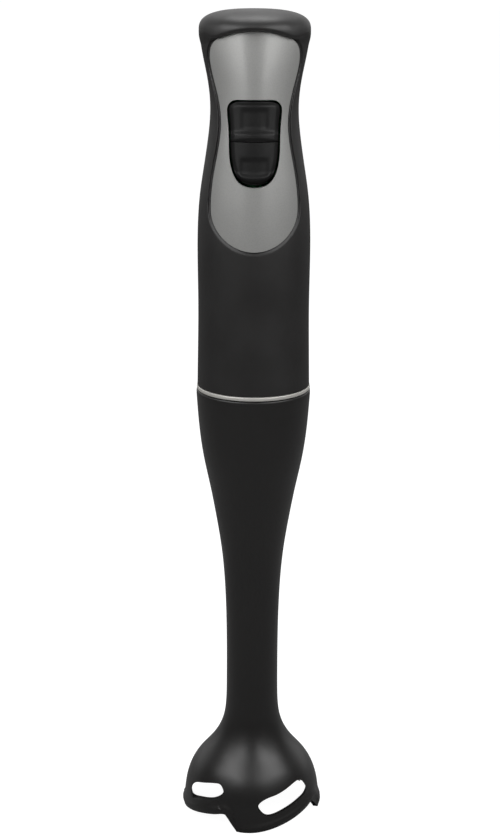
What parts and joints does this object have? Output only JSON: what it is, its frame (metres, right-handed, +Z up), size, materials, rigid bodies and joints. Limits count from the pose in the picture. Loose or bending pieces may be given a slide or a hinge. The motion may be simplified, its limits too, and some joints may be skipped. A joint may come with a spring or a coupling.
{
  "type": "immersion blender",
  "caption": "Slim stick blender with a satin black body, grey thumb panel, two push buttons, chrome seam ring and a swirled slotted blade guard.",
  "frame": {"origin": "centre of the bounding box's base, under the guard's feet on the shaft's axis", "axes": "+Z up along the shaft, -Y the way the buttons face, +X to the viewer's right when facing the buttons"},
  "size_m": [0.064, 0.064, 0.366],
  "materials": {
    "black_plastic": "satin black moulded plastic, fine texture",
    "grey_panel": "satin silver-grey soft plastic",
    "button_rubber": "matt black moulded plastic",
    "chrome": "bright chrome plating",
    "steel": "ground stainless steel",
    "zinc_plate": "zinc-plated deep-drawn steel",
    "bronze": "sintered bronze",
    "copper": "enamelled copper",
    "rubber": "black rubber",
    "seal": "red silicone",
    "white_nylon": "off-white nylon",
    "board": "green circuit board",
    "component": "yellow film capacitor",
    "dark_component": "black moulded component",
    "ferrite": "dark ferrite",
    "carbon": "pressed carbon",
    "lead": "red insulated lead"
  },
  "bodies": {
    "handle": {"front_shell": "black_plastic", "rear_shell": "black_plastic", "grey_panel": "grey_panel", "wand_socket": "white_nylon", "socket_seal": "seal", "motor_can": "zinc_plate", "motor_end_plate": "white_nylon", "motor_magnets": "ferrite", "lower_motor_bearing": "bronze", "upper_motor_bearing": "bronze", "motor_mount_lower": "rubber", "motor_mount_upper": "rubber", "brush_holders": "bronze", "carbon_brushes": "carbon", "brush_springs": "steel", "motor_leads": "lead", "circuit_board": "board", "board_carrier": "white_nylon", "suppression_capacitor": "component", "choke_coil": "copper", "bridge_rectifier": "dark_component", "low_switch": "dark_component", "high_switch": "dark_component", "low_button_spring": "steel", "high_button_spring": "steel", "housing_screws": "zinc_plate", "screw_plugs": "black_plastic", "cord_grommet": "rubber", "cord_clamp": "white_nylon", "clamp_screws": "zinc_plate"},
    "lock_ring": {"trim_ring": "chrome", "key_ring": "white_nylon"},
    "wand": {"wand_housing": "black_plastic", "bayonet_collar": "black_plastic", "bearing_plate": "white_nylon", "upper_bush": "bronze", "bearing_tube": "steel", "lower_bush": "bronze", "shaft_seal": "seal"},
    "rotor": {"motor_shaft": "steel", "rotor_core": "ferrite", "rotor_windings": "copper", "commutator": "copper", "cooling_fan": "white_nylon", "drive_dog": "white_nylon"},
    "blade_assembly": {"drive_shaft": "steel", "driven_coupling": "white_nylon", "shaft_clip": "steel", "thrust_washer": "bronze", "blade_hub": "white_nylon", "blade": "steel", "blade_nut": "steel"},
    "low_button": {"low_button": "button_rubber", "low_plunger": "white_nylon"},
    "high_button": {"high_button": "button_rubber", "high_plunger": "white_nylon"}
  },
  "joints": [
    {"name": "shaft_twist", "type": "hinge", "parent": "handle", "child": "lock_ring", "pos_m": [0, 0, 0.205], "axis": [0, 0, 1], "range_deg": [0, 25]},
    {"name": "shaft_pull", "type": "slide", "parent": "lock_ring", "child": "wand", "axis": [0, 0, -1], "range_m": [0, 0.045]},
    {"name": "motor_spin", "type": "hinge", "parent": "handle", "child": "rotor", "pos_m": [0, 0, 0.25], "axis": [0, 0, 1], "continuous": true},
    {"name": "blade_spin", "type": "hinge", "parent": "wand", "child": "blade_assembly", "pos_m": [0, 0, 0.1], "axis": [0, 0, 1], "continuous": true},
    {"name": "low_press", "type": "slide", "parent": "handle", "child": "low_button", "axis": [0, 1, 0], "range_m": [0, 0.002], "stiffness_N_per_m": 500, "deforming": ["low_button_spring"]},
    {"name": "high_press", "type": "slide", "parent": "handle", "child": "high_button", "axis": [0, 1, 0], "range_m": [0, 0.002], "stiffness_N_per_m": 500, "deforming": ["high_button_spring"]}
  ],
  "couplings": [
    {"joint": "blade_spin", "follows": "motor_spin", "ratio": 1}
  ]
}
